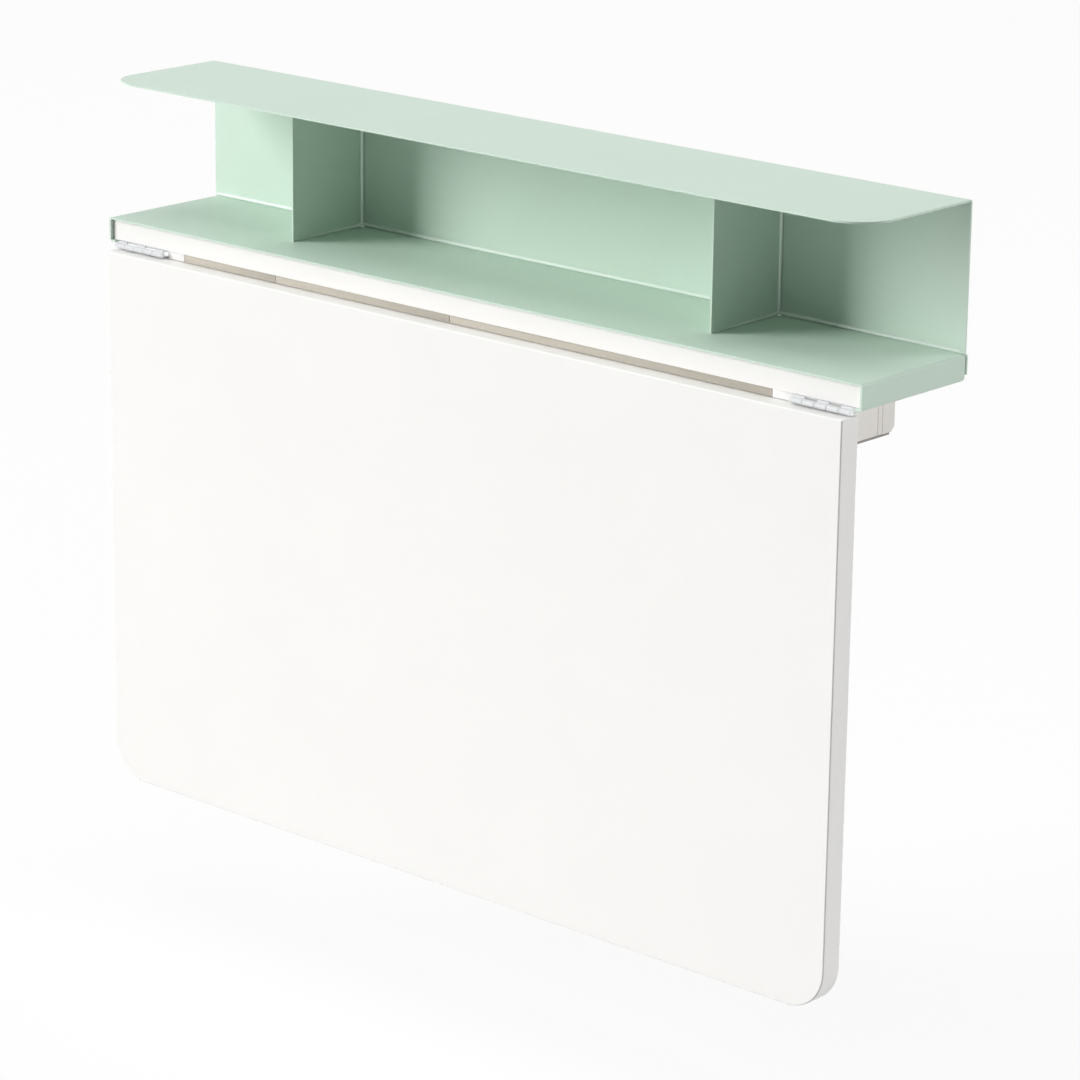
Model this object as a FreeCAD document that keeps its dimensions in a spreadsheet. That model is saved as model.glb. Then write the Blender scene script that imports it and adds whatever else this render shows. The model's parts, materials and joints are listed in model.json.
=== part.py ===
"""Wall mounted drop leaf table: a folded steel shelf over a timber frame with a hinged leaf.

Millimetres. X runs to the right, Y into the wall, Z up. The origin is the middle of the row of wall screw
holes, on the wall plane. The leaf is drawn hanging.
"""
import FreeCAD, Part
import os
import re

import Sketcher

from FreeCAD import Placement, Rotation, Vector

# Driving dimensions, each with a word on what it measures.
SIZES = {
    "shelf_width": (1000, "over the end lips of the tray"),
    "shelf_depth": (161, "from the wall to the front of the tray"),
    "sheet_gauge": (2, "steel sheet, coated"),
    "bend_radius": (1, "inside of each fold"),
    "hood_rise": (147, "from the tray's face to the top of the hood"),
    "hood_depth": (164, "from the wall to the front of the hood's top"),
    "back_setback": (3, "from the wall to the back panel, clear of the tray's rear fold"),
    "hood_corner": (40, "rounded front corners of the hood's top"),
    "lip_return": (8, "width of the fold under each end lip"),
    "lip_corner": (4, "rounded lower rear corner of each end lip"),
    "rear_flange": (20, "depth of the tray's rear flange"),
    "end_bay": (221, "from each end of the shelf to the middle of a divider"),
    "divider_depth": (109, "from the wall to a divider's front edge"),
    "divider_relief": (6, "rounded rear corners that clear the fold"),
    "board_thickness": (22, "board under the tray"),
    "board_play": (0.5, "gap between the board and the lips and rear flange"),
    "board_setback": (3.5, "board's front edge behind the tray's"),
    "board_ease": (1, "eased edges of the frame's timber"),
    "frame_inset": (82, "from each end of the shelf to a cheek's outer face"),
    "cheek_thickness": (22, "cheeks, pivot blocks and arms"),
    "cheek_setback": (4, "gap between a cheek and the hanging leaf"),
    "batten_height": (66, "wall batten and cheeks"),
    "batten_thickness": (19, "wall batten"),
    "frame_back": (7, "board between the batten and the cheeks"),
    "batten_chamfer": (5, "lower rear edge of the batten"),
    "panel_thickness": (3, "panel that closes the frame from below"),
    "panel_inset": (2, "panel's edges inside the frame's"),
    "wall_hole_radius": (2.75, "holes for the wall screws"),
    "wall_hole_inner": (240, "between the inner wall screws"),
    "wall_hole_inset": (78, "from each end of the batten to the outer wall screws"),
    "leaf_inset": (11, "from each end of the shelf to the leaf's edge"),
    "leaf_height": (583, "hinged leaf"),
    "leaf_thickness": (25, "hinged leaf"),
    "leaf_corner": (43, "rounded lower corners of the leaf"),
    "leaf_ease": (1.5, "eased edges of the leaf"),
    "leaf_proud": (14, "leaf's face in front of the tray's front"),
    "leaf_gap": (9, "between the board and the leaf's top edge"),
    "hinge_length": (70, "cranked butt hinge, flush with the leaf's edge"),
    "hinge_plate": (24, "width of the plate under the board"),
    "hinge_drop": (26, "length of the plate down the back of the leaf"),
    "hinge_gauge": (1.5, "hinge plates"),
    "barrel_radius": (3, "hinge barrel"),
    "barrel_play": (0.2, "gap between two knuckles"),
    "pin_radius": (1.4, "hinge pin"),
    "pin_play": (0.05, "pin in its knuckles"),
    "pin_cap_radius": (2.3, "peened ends of the pin"),
    "pin_cap": (0.8, "thickness of a peened end"),
    "arm_tip": (1.5, "from the middle to the free end of an arm"),
    "arm_setback": (99, "from the wall to the middle of a folded arm"),
    "arm_play": (1, "gap between an arm's round end and its block"),
    "arm_lift": (0.3, "gap under an arm"),
    "pivot_block": (55, "width of the block beside each arm's pivot"),
    "pad_thickness": (2, "felt pads on the arms"),
    "pad_length": (60, "felt pads on the arms"),
    "pad_margin": (3, "pad's edge inside the arm's edge"),
    "pad_play": (0.2, "between a pad and the raised leaf"),
    "pivot_radius": (4, "shoulder of a pivot bolt"),
    "pivot_play": (0.1, "pivot bolt in its arm"),
    "pivot_head_radius": (8, "head of a pivot bolt"),
    "pivot_head": (4, "head of a pivot bolt"),
    "pivot_depth": (12, "pivot bolt into the board"),
    "sleeve_wall": (2, "spacer sleeve round a pivot bolt"),
    "screw_radius": (1.75, "wood screws"),
    "screw_head_radius": (3.4, "countersunk heads"),
    "screw_length": (45, "frame screws"),
    "cheek_screw_inset": (16, "cheek screws from the upper and lower edges of the batten"),
    "board_screw_inset": (37, "front board screws from a cheek's front end"),
    "board_screw_spacing": (37, "between the two board screws over a cheek"),
    "small_screw_radius": (1.3, "hinge and rear flange screws"),
    "small_head_radius": (2.7, "their countersunk heads"),
    "small_screw_length": (16, "hinge and rear flange screws"),
    "bolt_head": (2.4, "pan heads of the tray bolts"),
    "tray_bolt_inset": (60, "tray bolts from the ends and edges"),
}
KNUCKLES = 5
SCREWS_IN_PLATE = 3
REAR_SCREWS = 5

# Kinds of screw: shank radius, head radius and length.
SMALL_SCREW = ("small_screw_radius", "small_head_radius", "small_screw_length")
FRAME_SCREW = ("screw_radius", "screw_head_radius", "screw_length")

# How close two coordinates lie when they are the same, in millimetres.
SAME = 0.01

# Heights and depths that follow from the driving dimensions.
FRAME_HALF = "(shelf_width / 2 - frame_inset)"
LEAF_HALF = "(shelf_width / 2 - leaf_inset)"
DIVIDER_X = "(shelf_width / 2 - end_bay)"
HINGE_X = f"({LEAF_HALF} - hinge_length / 2)"
FRAME_BOTTOM = "(-batten_height / 2)"
BOARD_BOTTOM = "(batten_height / 2)"
BOARD_TOP = f"({BOARD_BOTTOM} + board_thickness)"
TRAY_TOP = f"({BOARD_TOP} + sheet_gauge)"
LIP_BOTTOM = f"({BOARD_BOTTOM} - sheet_gauge)"
OUTER_BEND = "(bend_radius + sheet_gauge)"
LIP_REAR = f"(-{OUTER_BEND} - bend_radius)"
BACK_REAR = "(-back_setback)"
BACK_FACE = "(-back_setback - sheet_gauge)"
HOOD_TOP = f"({TRAY_TOP} + hood_rise)"
BOARD_FRONT = "(board_setback - shelf_depth)"
LEAF_FRONT = "(-shelf_depth - leaf_proud)"
LEAF_REAR = f"({LEAF_FRONT} + leaf_thickness)"
LEAF_TOP = f"({BOARD_BOTTOM} - leaf_gap)"
LEAF_BOTTOM = f"({LEAF_TOP} - leaf_height)"
CHEEK_FRONT = f"({LEAF_REAR} + cheek_setback)"
CHEEK_REAR = "(-batten_thickness - frame_back)"
CHEEK_INNER = f"({FRAME_HALF} - cheek_thickness)"
BLOCK_INNER = f"({CHEEK_INNER} - pivot_block)"
AXIS_Y = "(-shelf_depth)"
AXIS_Z = f"({BOARD_BOTTOM} - leaf_gap / 2)"
AXIS = (AXIS_Y, AXIS_Z)
PIVOT_X = f"({BLOCK_INNER} - arm_play - cheek_thickness / 2)"
BARREL_REAR = f"({AXIS_Y} + barrel_radius)"
ARM_BOTTOM = f"({FRAME_BOTTOM} + arm_lift)"
PAD_TOP = f"({AXIS_Z} - ({LEAF_REAR} - {AXIS_Y}) - pad_play)"
ARM_TOP = f"({PAD_TOP} - pad_thickness)"
ARM_DEPTH = ("(-arm_setback - cheek_thickness / 2)", "(-arm_setback + cheek_thickness / 2)")
PANEL_BOTTOM = f"({FRAME_BOTTOM} - panel_thickness)"

OUTWARD = {
    "up": Rotation(),
    "down": Rotation(Vector(1, 0, 0), 180),
    "back": Rotation(Vector(1, 0, 0), -90),
    "left": Rotation(Vector(0, 1, 0), -90),
    "right": Rotation(Vector(0, 1, 0), 90),
}
SIDES = {"left": "-1", "right": "1"}

doc = FreeCAD.newDocument("drop_leaf_table")
sheet = doc.addObject("Spreadsheet::Sheet", "Sizes")
for row, (alias, (value, note)) in enumerate(SIZES.items(), start=1):
    sheet.set(f"A{row}", note)
    sheet.set(f"B{row}", str(value))
    sheet.setAlias(f"B{row}", alias)
doc.recompute()


def bound(expression):
    """The expression with each driving dimension named as its cell."""
    return re.sub(r"[a-z_]+", lambda word: f"Sizes.{word.group()}", str(expression))


def value_of(expression):
    return float(sheet.evalExpression(bound(expression)))


def bind(obj, **expressions):
    for path, expression in expressions.items():
        obj.setExpression(path.replace("__", "."), bound(expression))


def put(obj, x="0", y="0", z="0", rotation=None):
    """Turn an object, then tie its place to the dimensions."""
    obj.Placement = Placement(Vector(value_of(x), value_of(y), value_of(z)), rotation or Rotation())
    bind(obj, Placement__Base__x=x, Placement__Base__y=y, Placement__Base__z=z)


def block(label, x, y, z):
    """A box between pairs of bounds."""
    obj = doc.addObject("Part::Box", label)
    bind(obj, Length=f"{x[1]} - {x[0]}", Width=f"{y[1]} - {y[0]}", Height=f"{z[1]} - {z[0]}")
    put(obj, x[0], y[0], z[0])
    return obj


def rod(label, radius, length, x, y, z, outward="up"):
    """A cylinder from a point, towards one side."""
    obj = doc.addObject("Part::Cylinder", label)
    bind(obj, Radius=radius, Height=length)
    put(obj, x, y, z, OUTWARD[outward])
    return obj


def gather(kind, label, pieces):
    """Several pieces as one object: fused, or a group of separate solids."""
    obj = doc.addObject(kind, label)
    setattr(obj, "Links" if kind == "Part::Compound" else "Shapes", pieces)
    return obj


def fuse(label, pieces):
    return gather("Part::MultiFuse", label, pieces)


def group(label, pieces):
    return gather("Part::Compound", label, pieces)


def cut(label, base, tools):
    """The base less every tool."""
    obj = doc.addObject("Part::Cut", label)
    obj.Base = base
    obj.Tool = tools[0] if len(tools) == 1 else fuse(f"{label}_cutters", tools)
    return obj


def screw(label, kind, x, y, z, outward):
    """A countersunk screw whose head's face lies at a point."""
    radius, head_radius, length = kind
    head_height = f"({head_radius} - {radius})"
    shank = rod(f"{label}_shank", radius, f"{length} - {head_height}", "0", "0", f"-{length}")
    head = doc.addObject("Part::Cone", f"{label}_head")
    bind(head, Radius1=radius, Radius2=head_radius, Height=head_height)
    put(head, z=f"-{head_height}")
    obj = fuse(label, [shank, head])
    put(obj, x, y, z, OUTWARD[outward])
    return obj


def tie_corner(sketch, corner, kind, expression, value):
    """Hold one coordinate of a sketch's corner to a dimension."""
    index = sketch.addConstraint(Sketcher.Constraint(kind, -1, 1, corner, 1, value))
    sketch.setExpression(f"Constraints[{index}]", bound(expression))


def outline(body, plane, points, offset):
    """A closed sketch on an origin plane, every corner tied to the dimensions."""
    sketch = body.newObject("Sketcher::SketchObject", f"{body.Name}_outline")
    origin_plane = next(item for item in body.Origin.OriginFeatures if item.Role == plane)
    sketch.AttachmentSupport = (origin_plane, "")
    sketch.MapMode = "FlatFace"
    sketch.AttachmentOffset = Placement(Vector(0, 0, value_of(offset)), Rotation())
    bind(sketch, AttachmentOffset__Base__z=offset)
    corners = [Vector(value_of(across), value_of(up), 0) for across, up in points]
    for index, corner in enumerate(corners):
        sketch.addGeometry(Part.LineSegment(corner, corners[(index + 1) % len(corners)]), False)
    for index in range(len(corners)):
        sketch.addConstraint(Sketcher.Constraint("Coincident", index, 2, (index + 1) % len(corners), 1))
    for index, (across, up) in enumerate(points):
        tie_corner(sketch, index, "DistanceX", across, corners[index].x)
        tie_corner(sketch, index, "DistanceY", up, corners[index].y)
    return sketch


def padded(label, plane, points, length, offset="0", midplane=False):
    """A body padded from a closed outline."""
    body = doc.addObject("PartDesign::Body", label)
    pad = body.newObject("PartDesign::Pad", f"{label}_pad")
    pad.Profile = outline(body, plane, points, offset)
    pad.Midplane = midplane
    bind(pad, Length=length)
    doc.recompute()
    return body


def rounded(body, radius, wanted):
    """Fillet the edges of a body whose middle and box pass a test."""
    base = body.Tip
    names = []
    for index, edge in enumerate(base.Shape.Edges, start=1):
        if wanted(edge.BoundBox.Center, edge.BoundBox):
            names.append(f"Edge{index}")
    fillet = body.newObject("PartDesign::Fillet", f"{body.Name}_round")
    fillet.Base = (base, names)
    bind(fillet, Radius=radius)
    doc.recompute()
    return body


def near(a, expression):
    """Whether a coordinate is that of an expression."""
    return abs(a - value_of(expression)) < SAME


def along_x(box):
    return box.XLength > max(box.YLength, box.ZLength)


def along_y(box):
    return box.YLength > max(box.XLength, box.ZLength)


def shelf_hood():
    """Back panel and top of one folded sheet, welded along the rear of the tray."""
    inner_top = f"({HOOD_TOP} - sheet_gauge)"
    points = [
        (BACK_REAR, TRAY_TOP), (BACK_REAR, HOOD_TOP), ("-hood_depth", HOOD_TOP), ("-hood_depth", inner_top),
        (BACK_FACE, inner_top), (BACK_FACE, TRAY_TOP),
    ]
    body = padded("shelf_hood", "YZ_Plane", points, "shelf_width", midplane=True)
    rounded(body, "hood_corner", lambda c, box: near(c.y, "-hood_depth") and box.ZLength > box.XLength)
    for radius, y, z in ((OUTER_BEND, BACK_REAR, HOOD_TOP), ("bend_radius", BACK_FACE, inner_top)):
        rounded(body, radius, lambda c, box: near(c.y, y) and near(c.z, z) and along_x(box))
    return body


def shelf_tray():
    """Tray with end lips that fold down and under the board, and a rear flange behind it."""
    end, inner = "shelf_width / 2", "(shelf_width / 2 - sheet_gauge)"
    fold = "(shelf_width / 2 - lip_return)"
    half = [
        (end, TRAY_TOP), (end, LIP_BOTTOM), (fold, LIP_BOTTOM), (fold, BOARD_BOTTOM), (inner, BOARD_BOTTOM),
        (inner, BOARD_TOP),
    ]
    points = half + [(f"-{across}", up) for across, up in reversed(half)]
    body = padded("shelf_tray_fold", "XZ_Plane", points, f"shelf_depth + {LIP_REAR}", offset=f"-{LIP_REAR}")
    bends = ((OUTER_BEND, end, (TRAY_TOP, LIP_BOTTOM)), ("bend_radius", inner, (BOARD_TOP, BOARD_BOTTOM)))
    for radius, x, heights in bends:
        rounded(body, radius,
                lambda c, box: near(abs(c.x), x) and any(near(c.z, z) for z in heights) and along_y(box))
    corner = lip_corner_waste((f"-{end}", end))
    return cut("shelf_tray", fuse("shelf_tray_sheet", [body, rear_flange()]), [corner, rear_screws])


def rear_flange():
    """Fold down the rear of the tray, against the wall."""
    low = f"({TRAY_TOP} - rear_flange)"
    points = [
        (LIP_REAR, TRAY_TOP), ("0", TRAY_TOP), ("0", low), ("-sheet_gauge", low),
        ("-sheet_gauge", BOARD_TOP), (LIP_REAR, BOARD_TOP),
    ]
    body = padded("tray_rear_flange", "YZ_Plane", points, "shelf_width", midplane=True)
    for radius, y, z in ((OUTER_BEND, "0", TRAY_TOP), ("bend_radius", "-sheet_gauge", BOARD_TOP)):
        rounded(body, radius, lambda c, box: near(c.y, y) and near(c.z, z) and along_x(box))
    return body


def lip_corner_waste(across):
    """What the rounded lower rear corner of the lips leaves out."""
    middle_y, middle_z = f"({LIP_REAR} - lip_corner)", f"({LIP_BOTTOM} + lip_corner)"
    corner = block("lip_corner_block", across, (middle_y, LIP_REAR), (LIP_BOTTOM, middle_z))
    round_part = rod("lip_corner_round", "lip_corner", "shelf_width", across[0], middle_y, middle_z, "right")
    return cut("lip_corner_waste", corner, [round_part])


def divider(side):
    """Flat divider with its rear corners rounded clear of the folds."""
    top = f"({HOOD_TOP} - sheet_gauge)"
    points = [(BACK_FACE, TRAY_TOP), (BACK_FACE, top), ("-divider_depth", top), ("-divider_depth", TRAY_TOP)]
    offset = f"{SIDES[side]} * {DIVIDER_X} - sheet_gauge / 2"
    body = padded(f"divider_{side}", "YZ_Plane", points, "sheet_gauge", offset=offset)
    return rounded(body, "divider_relief", lambda c, box: near(c.y, BACK_FACE) and along_x(box))


def drop_leaf():
    """Leaf with rounded lower corners and eased edges."""
    half = LEAF_HALF
    points = [(half, LEAF_TOP), (half, LEAF_BOTTOM), (f"-{half}", LEAF_BOTTOM), (f"-{half}", LEAF_TOP)]
    body = padded("drop_leaf_blank", "XZ_Plane", points, "leaf_thickness", offset=f"-{LEAF_REAR}")
    rounded(body, "leaf_corner", lambda c, box: near(c.z, LEAF_BOTTOM) and along_y(box))
    rounded(body, "leaf_ease", lambda c, box: near(c.y, LEAF_FRONT) or near(c.y, LEAF_REAR))
    return cut("drop_leaf", body, [hinge_leaf_screws])


def hinge_half(label, side, knuckles, neck, plates):
    """Half of a hinge: its plates and its share of the knuckles, each on a neck that leads to the plate."""
    start = f"({SIDES[side]} * {HINGE_X} - hinge_length / 2)"
    pitch = f"(hinge_length / {KNUCKLES})"
    across = (start, f"({start} + hinge_length)")
    pieces = [block(f"{label}_plate_{index}", across, *plate) for index, plate in enumerate(plates)]
    length = f"({pitch} - barrel_play)"
    for index in knuckles:
        low = f"({start} + {index} * {pitch} + barrel_play / 2)"
        span = (low, f"({low} + {length})")
        pieces.append(rod(f"{label}_knuckle_{index}", "barrel_radius", length, low, *AXIS, "right"))
        pieces.append(block(f"{label}_neck_{index}", span, (AXIS_Y, BARREL_REAR), neck))
    solid = fuse(f"{label}_solid", pieces)
    bore = rod(f"{label}_bore", "pin_radius + pin_play", "hinge_length", start, *AXIS, "right")
    return cut(f"{label}_bored", solid, [bore])


def plate_screws(label, y, z, outward):
    """Row of countersunk screws along each hinge plate."""
    screws = []
    for side, sign in SIDES.items():
        for index in range(SCREWS_IN_PLATE):
            along = f"(({index} + 0.5) / {SCREWS_IN_PLATE} - 0.5) * hinge_length"
            x = f"({sign} * {HINGE_X} + {along})"
            screws.append(screw(f"{label}_{side}_{index}", SMALL_SCREW, x, y, z, outward))
    return group(label, screws)


def hinge_pin(side):
    """Pin with peened ends that seat on the outer knuckles."""
    label = f"hinge_pin_{side}"
    start = f"({SIDES[side]} * {HINGE_X} - hinge_length / 2 + barrel_play / 2)"
    length = "(hinge_length - barrel_play)"
    pieces = [
        rod(f"{label}_shank", "pin_radius", length, start, *AXIS, "right"),
        rod(f"{label}_cap_a", "pin_cap_radius", "pin_cap", start, *AXIS, "left"),
        rod(f"{label}_cap_b", "pin_cap_radius", "pin_cap", f"({start} + {length})", *AXIS, "right"),
    ]
    return fuse(label, pieces)


def spanned(side, outer, inner):
    """Bounds across one side of the table, lower first."""
    ends = (f"({SIDES[side]} * {outer})", f"({SIDES[side]} * {inner})")
    return ends if side == "left" else ends[::-1]


def swing_arm(side):
    """Support arm with a round pivot end, folded behind the leaf."""
    height = f"({ARM_TOP} - {ARM_BOTTOM})"
    pivot = (f"({SIDES[side]} * {PIVOT_X})", "-arm_setback", ARM_BOTTOM)
    bar = block(f"arm_{side}_bar", spanned(side, PIVOT_X, "arm_tip"), ARM_DEPTH, (ARM_BOTTOM, ARM_TOP))
    end = rod(f"arm_{side}_end", "cheek_thickness / 2", height, *pivot)
    bore = rod(f"arm_{side}_bore", "pivot_radius + pivot_play", height, *pivot)
    return cut(f"swing_arm_{side}", fuse(f"arm_{side}_solid", [bar, end]), [bore])


def pivot_bolts():
    """Shoulder bolts up through the panel and the arms into the board."""
    bolts = []
    length = f"({BOARD_BOTTOM} + pivot_depth - {PANEL_BOTTOM})"
    for side, sign in SIDES.items():
        place = (f"({sign} * {PIVOT_X})", "-arm_setback", PANEL_BOTTOM)
        shank = rod(f"pivot_{side}_shank", "pivot_radius", length, *place)
        head = rod(f"pivot_{side}_head", "pivot_head_radius", "pivot_head", *place, "down")
        bolts.append(fuse(f"pivot_{side}", [shank, head]))
    return group("arm_pivot_bolts", bolts)


def pivot_sleeves():
    """Spacer sleeves between the arms and the board."""
    sleeves = []
    length = f"({BOARD_BOTTOM} - {ARM_TOP})"
    for side, sign in SIDES.items():
        place = (f"({sign} * {PIVOT_X})", "-arm_setback", ARM_TOP)
        tube = rod(f"sleeve_{side}_tube", "pivot_radius + pivot_play + sleeve_wall", length, *place)
        bore = rod(f"sleeve_{side}_bore", "pivot_radius + pivot_play", length, *place)
        sleeves.append(cut(f"sleeve_{side}", tube, [bore]))
    return group("arm_sleeves", sleeves)


def arm_pads():
    """Felt pads at the free ends of the arms, where the raised leaf comes to rest."""
    tip = "(arm_tip + pad_margin)"
    depth = (f"({ARM_DEPTH[0]} + pad_margin)", f"({ARM_DEPTH[1]} - pad_margin)")
    end = f"({tip} + pad_length)"
    pads = [block(f"pad_{side}", spanned(side, end, tip), depth, (ARM_TOP, PAD_TOP)) for side in SIDES]
    return group("arm_pads", pads)


def timber(label, across, depth, height):
    """Board with its long edges and its ends eased."""
    points = [(depth[0], height[0]), (depth[1], height[0]), (depth[1], height[1]), (depth[0], height[1])]
    body = padded(label, "YZ_Plane", points, f"{across[1]} - {across[0]}", offset=across[0])
    return rounded(body, "board_ease", lambda c, box: along_x(box) or any(near(c.x, end) for end in across))


def frame_screws(label, places, outward):
    """Screws into each cheek, at depths and heights along the cheek's middle."""
    screws = []
    for side, sign in SIDES.items():
        x = f"({sign} * ({FRAME_HALF} - cheek_thickness / 2))"
        for index, (y, z) in enumerate(places):
            screws.append(screw(f"{label}_{side}_{index}", FRAME_SCREW, x, y, z, outward))
    return group(label, screws)


def rear_flange_screws():
    """Row of screws through the tray's rear flange into the board."""
    screws = []
    height = f"({BOARD_BOTTOM} + board_thickness / 2)"
    for index in range(REAR_SCREWS):
        x = f"(({index} - {(REAR_SCREWS - 1) / 2}) * shelf_width / {REAR_SCREWS})"
        screws.append(screw(f"rear_screw_{index}", SMALL_SCREW, x, "0", height, "back"))
    return group("rear_screws", screws)


def tray_bolts():
    """Pan-head bolts up through the board to the underside of the tray."""
    bolts = []
    for side, sign in SIDES.items():
        x = f"({sign} * (shelf_width / 2 - tray_bolt_inset))"
        for end, y in {"front": "(tray_bolt_inset - shelf_depth)", "rear": "(-tray_bolt_inset)"}.items():
            label, place = f"tray_bolt_{side}_{end}", (x, y, BOARD_BOTTOM)
            shank = rod(f"{label}_shank", "screw_radius", "board_thickness", *place)
            head = rod(f"{label}_head", "screw_head_radius", "bolt_head", *place, "down")
            bolts.append(fuse(label, [shank, head]))
    return group("tray_bolts", bolts)


def wall_holes():
    """Holes for the wall screws, through the batten and the board in front of it."""
    holes = []
    places = {"inner": "wall_hole_inner / 2", "outer": f"({FRAME_HALF} - wall_hole_inset)"}
    for side, sign in SIDES.items():
        for name, x in places.items():
            place = (f"({sign} * {x})", CHEEK_REAR, "0")
            label, length = f"wall_hole_{name}_{side}", f"(-{CHEEK_REAR})"
            holes.append(rod(label, "wall_hole_radius", length, *place, "back"))
    return group("wall_holes", holes)


def wall_batten():
    """Batten against the wall, with its lower rear edge taken off."""
    low, high = FRAME_BOTTOM, BOARD_BOTTOM
    points = [
        ("0", high), ("-batten_thickness", high), ("-batten_thickness", low), ("-batten_chamfer", low),
        ("0", f"({low} + batten_chamfer)"),
    ]
    body = padded("wall_batten_blank", "YZ_Plane", points, f"2 * {FRAME_HALF}", midplane=True)
    rounded(body, "board_ease", lambda c, box: near(c.y, "-batten_thickness"))
    return cut("wall_batten", body, [wall_hole_group, cheek_screws])


def frame_back():
    """Board that closes the frame in front of the batten."""
    depth, height = (CHEEK_REAR, "-batten_thickness"), (FRAME_BOTTOM, BOARD_BOTTOM)
    blank = timber("frame_back_blank", (f"(-{FRAME_HALF})", FRAME_HALF), depth, height)
    return cut("frame_back", blank, [wall_hole_group, cheek_screws])


def fixed_board():
    """Board under the tray, bored for what comes up into it and down through it."""
    end = "(shelf_width / 2 - sheet_gauge - board_play)"
    depth, height = (BOARD_FRONT, "(-sheet_gauge - board_play)"), (BOARD_BOTTOM, BOARD_TOP)
    board = timber("fixed_board_blank", (f"(-{end})", end), depth, height)
    fixings = [hinge_board_screws, tray_bolt_group, pivot_bolt_group, rear_screws, board_screws]
    return cut("fixed_board", board, fixings)


def bottom_panel():
    """Thin panel that closes the frame from below and carries the pivot bolts' heads."""
    end = f"({FRAME_HALF} - panel_inset)"
    depth = (f"({CHEEK_FRONT} + panel_inset)", "(-batten_chamfer)")
    panel = block("bottom_panel_blank", (f"(-{end})", end), depth, (PANEL_BOTTOM, FRAME_BOTTOM))
    return cut("bottom_panel", panel, [pivot_bolt_group])


def cheek(side):
    """Side of the frame, up to just behind the leaf."""
    depth, height = (CHEEK_FRONT, CHEEK_REAR), (FRAME_BOTTOM, BOARD_BOTTOM)
    blank = timber(f"cheek_{side}_blank", spanned(side, FRAME_HALF, CHEEK_INNER), depth, height)
    return cut(f"cheek_{side}", blank, [cheek_screws, board_screws])


def pivot_block(side):
    """Block that fills the frame beside an arm's pivot."""
    height = (FRAME_BOTTOM, BOARD_BOTTOM)
    return timber(f"pivot_block_{side}", spanned(side, CHEEK_INNER, BLOCK_INNER), ARM_DEPTH, height)


def board_plate(side):
    """Fixed half of a hinge, with its plate under the board."""
    plate = ((BARREL_REAR, f"({BARREL_REAR} + hinge_plate)"), (f"({BOARD_BOTTOM} - hinge_gauge)", BOARD_BOTTOM))
    half = hinge_half(f"hinge_fixed_{side}", side, range(0, KNUCKLES, 2), (AXIS_Z, BOARD_BOTTOM), [plate])
    return cut(f"hinge_board_plate_{side}", half, [hinge_board_screws])


def leaf_plate(side):
    """Moving half of a hinge, bent over the leaf's top edge and down its back."""
    rear = f"({LEAF_REAR} + hinge_gauge)"
    over = ((BARREL_REAR, rear), (LEAF_TOP, f"({LEAF_TOP} + hinge_gauge)"))
    down = ((LEAF_REAR, rear), (f"({LEAF_TOP} - hinge_drop)", LEAF_TOP))
    half = hinge_half(f"hinge_moving_{side}", side, range(1, KNUCKLES, 2), (LEAF_TOP, AXIS_Z), [over, down])
    return cut(f"hinge_leaf_plate_{side}", half, [hinge_leaf_screws])


# Fasteners come first, because they cut their own seats.
hinge_leaf_screws = plate_screws(
    "hinge_leaf_screws", f"({LEAF_REAR} + hinge_gauge)", f"({LEAF_TOP} - hinge_drop / 2)", "back")
hinge_board_screws = plate_screws(
    "hinge_board_screws", f"({BARREL_REAR} + hinge_plate / 2)", f"({BOARD_BOTTOM} - hinge_gauge)", "down")
tray_bolt_group = tray_bolts()
pivot_bolt_group = pivot_bolts()
rear_screws = rear_flange_screws()
wall_hole_group = wall_holes()
CHEEK_SCREW_Z = "(batten_height / 2 - cheek_screw_inset)"
cheek_screws = frame_screws("cheek_screws", [("0", f"(-{CHEEK_SCREW_Z})"), ("0", CHEEK_SCREW_Z)], "back")
BOARD_SCREW_Y = f"({CHEEK_FRONT} + board_screw_inset)"
board_screws = frame_screws(
    "board_screws", [(BOARD_SCREW_Y, BOARD_TOP), (f"({BOARD_SCREW_Y} + board_screw_spacing)", BOARD_TOP)], "up")

NODES = [
    hinge_leaf_screws, hinge_board_screws, tray_bolt_group, pivot_bolt_group, rear_screws, cheek_screws,
    board_screws, shelf_hood(), shelf_tray(), drop_leaf(), fixed_board(), wall_batten(), frame_back(),
    bottom_panel(), pivot_sleeves(), arm_pads(),
]
for side in SIDES:
    NODES += [make(side) for make in (
        cheek, board_plate, leaf_plate, pivot_block, divider, swing_arm, hinge_pin)]

doc.recompute()
for obj in doc.Objects:
    if "Invalid" in obj.State or "Error" in obj.State:
        raise RuntimeError(f"{obj.Label} did not build: {obj.State}")

os.makedirs("parts", exist_ok=True)
for node in NODES:
    if node.Shape.isNull() or not node.Shape.isValid():
        raise RuntimeError(f"{node.Label} has no valid shape")
for node in NODES:
    node.Shape.exportStep(f"parts/{node.Label}.step")
    box = node.Shape.BoundBox
    print(f"{node.Label}: {len(node.Shape.Solids)} solid(s), {node.Shape.Volume:.1f} mm3, "
          f"{box.XLength:.1f} x {box.YLength:.1f} x {box.ZLength:.1f} mm")
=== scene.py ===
"""Finishes the wall mounted drop leaf table: coated steel, white boards, hinges, screws and a stage."""

import json
import math

import bmesh
import bpy
from mathutils import Matrix, Vector


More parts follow.
